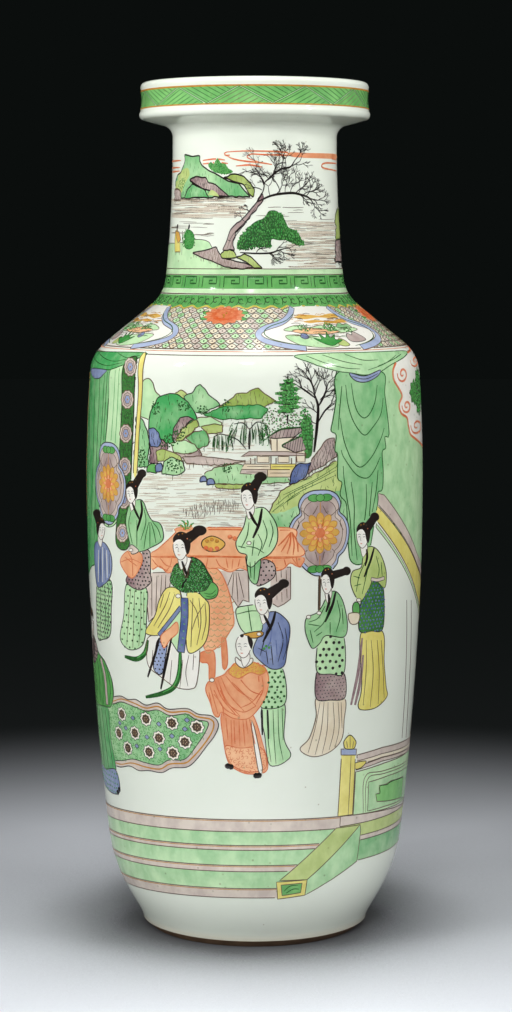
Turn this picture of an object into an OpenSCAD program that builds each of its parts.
// Rouleau vase in porcelain: a tall, nearly straight body on a low foot, a sloping
// shoulder, a cylindrical neck and a dish-shaped mouth with an upright collar.
// The potter throws it in sections and lutes them together with slip before glazing.
// All sections are turned about Z from one outer wall line and its lining, in millimetres.

/* [Foot] */
// Outer radius of the foot
foot_r = 62; // [57:0.5:68]
// Height of the bare bevel round the bottom of the foot
foot_bevel_h = 4; // [2:0.5:6]
// How far the bevel draws in
foot_bevel_w = 4; // [2:0.5:6]
// Width of the flat ring that the vase stands on
foot_land = 8; // [5:0.5:12]
// Rounding of the standing ring's edges
foot_land_round = 0.8; // [0.4:0.1:1.2]
// Height of the recessed base above the table
recess_h = 9; // [7.5:0.5:13]
// Rounding where the recessed base meets the foot
recess_round = 2.5; // [1:0.5:3]

/* [Body] */
// Thickness of the floor
floor_t = 9; // [6:0.5:12]
// Rounding inside, between the floor and the wall
floor_round = 12; // [6:1:16]
// Thickness of the thrown wall
wall_t = 6; // [4:0.5:8]
// How far the heel rises straight up from the foot before it swells
heel_lift = 6; // [3:0.5:9]
// How far below its top the heel starts to straighten
heel_reach = 28; // [20:1:34]
// Height where the heel runs into the long curve of the body
heel_z = 52; // [46:1:66]
// Largest radius of the body
belly_r = 91.6; // [84:0.2:98]
// Height of the largest radius
belly_z = 243; // [215:1:265]
// Radius of the long curve below the belly
lower_curve_r = 1650; // [1300:10:2600]
// Radius of the long curve above the belly
upper_curve_r = 850; // [600:10:1600]

/* [Shoulder] */
// Height where the wall turns in at the shoulder
shoulder_z = 305; // [290:1:310]
// Rounding of the shoulder
shoulder_round = 22; // [14:1:24]
// Height where the shoulder has become the neck
neck_base_z = 356; // [352:1:366]
// Rounding at the foot of the neck
neck_base_round = 22; // [14:1:24]

/* [Neck] */
// Radius at the foot of the neck
neck_base_r = 48; // [46:0.2:52]
// Radius at the top of the neck
neck_r = 44.3; // [41:0.1:45.5]

/* [Mouth] */
// Overall height, to the top of the lip
vase_h = 460; // [430:1:500]
// Height of the mouth, from where the neck starts to flare up to the lip
mouth_h = 29.5; // [27:0.5:34]
// Rounding under the mouth
flare_round = 6.5; // [4:0.5:8]
// Rise of the mouth's underside, in degrees
flare_slope = 15; // [8:1:20]
// Radius at the roll below the collar
rim_r = 62.3; // [60:0.1:66]
// Half thickness of that roll
roll_round = 2.6; // [1.8:0.1:3]
// Radius of the lip above the collar
lip_r = 61.5; // [59:0.1:64]
// Rounding of the lip
lip_round = 2.6; // [1.5:0.1:3]
// Thickness of the collar at the lip
collar_t = 7.2; // [6.2:0.1:9]
// How far the collar is hollowed between the roll and the lip
collar_hollow = 0.6; // [0.2:0.1:1.2]
// Thickness of the mouth's dished floor
dish_t = 6.5; // [5:0.5:8]
// Rounding between the dish and its collar, and over the edge of the bore
dish_round = 6; // [3:0.5:7]

/* [Luted joints] */
// Height of the joint between the two halves of the body
waist_joint_z = 165; // [130:1:200]
// Thickness of the slip between two sections
slip_t = 0.8; // [0.4:0.1:1.5]
// Height of the bead of slip wiped along a joint inside
bead_h = 10; // [6:1:14]
// How far the bead stands out from the lining
bead_w = 1.8; // [1:0.1:3]

/* [Hidden] */
$fn = 96;

porcelain = "#e3ebe0";
bare_paste = "#8f6d52";
slip = "#d8d8cb";

fine_step = 5;     // degrees between points on a tight rounding
long_step = 7;     // millimetres between points on a long curve
curve_steps = 12;  // points along a Bezier curve

foot_inner_r = foot_r - foot_bevel_w - foot_land;
floor_z = recess_h + floor_t;
bore_r = neck_r - wall_t;
mouth_z = vase_h - mouth_h;
neck_h = mouth_z - neck_base_z;

// Points on an arc round c from angle a0 to a1
function arc(c, r, a0, a1, step = fine_step) =
    let (n = max(2, ceil(abs(a1 - a0) / step)))
    [for (i = [0:n]) let (a = a0 + (a1 - a0) * i / n) c + r * [cos(a), sin(a)]];

// The same, with points a set length apart
function long_arc(c, r, a0, a1) = arc(c, r, a0, a1, long_step / r * 180 / PI);

function bezier(p0, p1, p2, p3, n = curve_steps) =
    [for (i = [0:n]) let (t = i / n, s = 1 - t)
        s * s * s * p0 + 3 * s * s * t * p1 + 3 * s * t * t * p2 + t * t * t * p3];

// A corner at p1 rounded off between p0 and p2
function rounded(p0, p1, p2, n = curve_steps) =
    [for (i = [0:n]) let (t = i / n, s = 1 - t)
        s * s * p0 + 2 * s * t * p1 + t * t * p2];

function tail(list) = [for (i = [1:1:len(list) - 1]) list[i]];
function reversed(list) = [for (i = [len(list) - 1:-1:0]) list[i]];

// Radius of a rising line at height z
function radius_at(path, z) = lookup(z, [for (p = path) [p.y, p.x]]);

// The stretch of a rising line from z0 to z1
function between(path, z0, z1) = concat(
    [[radius_at(path, z0), z0]],
    [for (p = path) if (p.y > z0 && p.y < z1) p],
    [[radius_at(path, z1), z1]]);

// A rising line moved in by t, square to itself
function inset(path, t) = let (last = len(path) - 1)
    [for (i = [0:last])
        let (d = path[min(i + 1, last)] - path[max(i - 1, 0)])
        path[i] - t * [d.y, -d.x] / norm(d)];

// Outer wall line: heel, long body curves, shoulder and neck, each tangent to the next
lower_centre = [belly_r - lower_curve_r, belly_z];
upper_centre = [belly_r - upper_curve_r, belly_z];
heel_lean = asin((heel_z - belly_z) / lower_curve_r);
heel_top = lower_centre + lower_curve_r * [cos(heel_lean), sin(heel_lean)];
heel_bottom = [foot_r, foot_bevel_h];
shoulder_lean = asin((shoulder_z - belly_z) / upper_curve_r);
shoulder_normal = [cos(shoulder_lean), sin(shoulder_lean)];
shoulder_centre = upper_centre + (upper_curve_r - shoulder_round) * shoulder_normal;
neck_lean = atan(2 * (neck_base_r - neck_r) / neck_h);
neck_normal = [cos(neck_lean), sin(neck_lean)];
neck_centre = [neck_base_r, neck_base_z] + neck_base_round * neck_normal;
// The slope between the two roundings is their common tangent
centre_line = neck_centre - shoulder_centre;
slope_normal = atan2(centre_line.y, centre_line.x)
    + asin((shoulder_round + neck_base_round) / norm(centre_line)) - 90;

wall = concat(
    bezier(heel_bottom, heel_bottom + [0, heel_lift],
        heel_top - heel_reach * [-sin(heel_lean), cos(heel_lean)], heel_top),
    tail(long_arc(lower_centre, lower_curve_r, heel_lean, 0)),
    tail(long_arc(upper_centre, upper_curve_r, 0, shoulder_lean)),
    tail(arc(shoulder_centre, shoulder_round, shoulder_lean, slope_normal)),
    arc(neck_centre, neck_base_round, slope_normal + 180, neck_lean + 180),
    [for (i = [1:curve_steps]) let (t = i / curve_steps)
        [neck_r + (neck_base_r - neck_r) * (1 - t) * (1 - t), neck_base_z + t * neck_h]]);

// Inner wall line, carried a little way up into the mouth
lining = concat(
    [for (p = inset(wall, wall_t)) if (p.y < mouth_z - slip_t) p],
    [[bore_r, mouth_z], [bore_r, mouth_z + bead_h / 2]]);

// Half sections of the pieces, drawn as radius against height

module foot_ring_section() {
    land_inner = [foot_inner_r + foot_land_round, foot_land_round];
    land_outer = [foot_inner_r + foot_land - foot_land_round, foot_land_round];
    polygon(concat(
        arc(land_inner, foot_land_round, 180, 270, 30),
        arc(land_outer, foot_land_round, 270, 315, 15),
        [[foot_r, foot_bevel_h], [foot_inner_r, foot_bevel_h]]));
}

module lower_body_section() {
    floor_corner = [radius_at(lining, floor_z), floor_z];
    floor_rise = floor_z + floor_round / 2;
    polygon(concat(
        [[0, recess_h]],
        arc([foot_inner_r - recess_round, recess_h - recess_round], recess_round, 90, 0, 15),
        [[foot_inner_r, foot_bevel_h]],
        between(wall, foot_bevel_h, waist_joint_z - slip_t / 2),
        reversed(between(lining, floor_rise, waist_joint_z - slip_t / 2)),
        tail(rounded([radius_at(lining, floor_rise), floor_rise], floor_corner,
            floor_corner - [floor_round, 0])),
        [[0, floor_z]]));
}

module shell_section(z0, z1) {
    polygon(concat(between(wall, z0, z1), reversed(between(lining, z0, z1))));
}

// Slip between two sections at height z, wiped into a bead on the inside
module lute_section(z) {
    gap = slip_t / 2;
    top = [radius_at(lining, z + bead_h / 2), z + bead_h / 2];
    bottom = [radius_at(lining, z - bead_h / 2), z - bead_h / 2];
    polygon(concat(
        between(lining, bottom.y, z - gap),
        between(wall, z - gap, z + gap),
        between(lining, z + gap, top.y),
        [for (i = [1:curve_steps - 1]) let (t = i / curve_steps)
            top + (bottom - top) * t - [bead_w * sin(180 * t), 0]]));
}

module mouth_section() {
    flare_centre = [neck_r + flare_round, mouth_z + slip_t / 2];
    under_normal = flare_slope + 90;
    under_start = flare_centre + flare_round * [cos(under_normal), sin(under_normal)];
    roll_r = rim_r - roll_round;
    under_end = roll_r + roll_round * sin(flare_slope);
    roll_z = under_start.y + (under_end - under_start.x) * tan(flare_slope)
        + roll_round * cos(flare_slope);
    roll = arc([roll_r, roll_z], roll_round, flare_slope - 90, 40, 2 * fine_step);
    lip_centre = [lip_r - lip_round, vase_h - lip_round];
    lip = arc(lip_centre, lip_round, -20, 90, 2 * fine_step);
    collar_foot = roll[len(roll) - 1];
    dish_wall_r = lip_r - collar_t;
    inner_lip = [dish_wall_r + lip_round, vase_h - lip_round];
    // The dished floor runs parallel to the underside, dish_t above it
    dish_rise = dish_t / cos(flare_slope) - under_start.x * tan(flare_slope) + under_start.y;
    dish_corner = [dish_wall_r, dish_rise + dish_wall_r * tan(flare_slope)];
    bore_corner = [bore_r, dish_rise + bore_r * tan(flare_slope)];
    along = [cos(flare_slope), sin(flare_slope)];
    polygon(concat(
        arc(flare_centre, flare_round, 180, under_normal),
        roll,
        [for (i = [1:curve_steps - 1]) let (t = i / curve_steps)
            collar_foot + (lip[0] - collar_foot) * t - [collar_hollow * sin(180 * t), 0]],
        lip,
        arc(inner_lip, lip_round, 90, 180, 2 * fine_step),
        rounded(dish_corner + [0, dish_round], dish_corner, dish_corner - dish_round * along),
        rounded(bore_corner + dish_round * along, bore_corner, bore_corner - [0, dish_round]),
        [[bore_r, mouth_z + slip_t / 2]]));
}

module foot_ring() {
    color(bare_paste) rotate_extrude() foot_ring_section();
}

module lower_body() {
    color(porcelain) rotate_extrude() lower_body_section();
}

module waist_lute() {
    color(slip) rotate_extrude() lute_section(waist_joint_z);
}

module upper_body() {
    color(porcelain) rotate_extrude()
        shell_section(waist_joint_z + slip_t / 2, neck_base_z - slip_t / 2);
}

module neck_lute() {
    color(slip) rotate_extrude() lute_section(neck_base_z);
}

module neck() {
    color(porcelain) rotate_extrude()
        shell_section(neck_base_z + slip_t / 2, mouth_z - slip_t / 2);
}

module mouth_lute() {
    color(slip) rotate_extrude() lute_section(mouth_z);
}

module mouth_rim() {
    color(porcelain) rotate_extrude() mouth_section();
}

foot_ring();
lower_body();
waist_lute();
upper_body();
neck_lute();
neck();
mouth_lute();
mouth_rim();
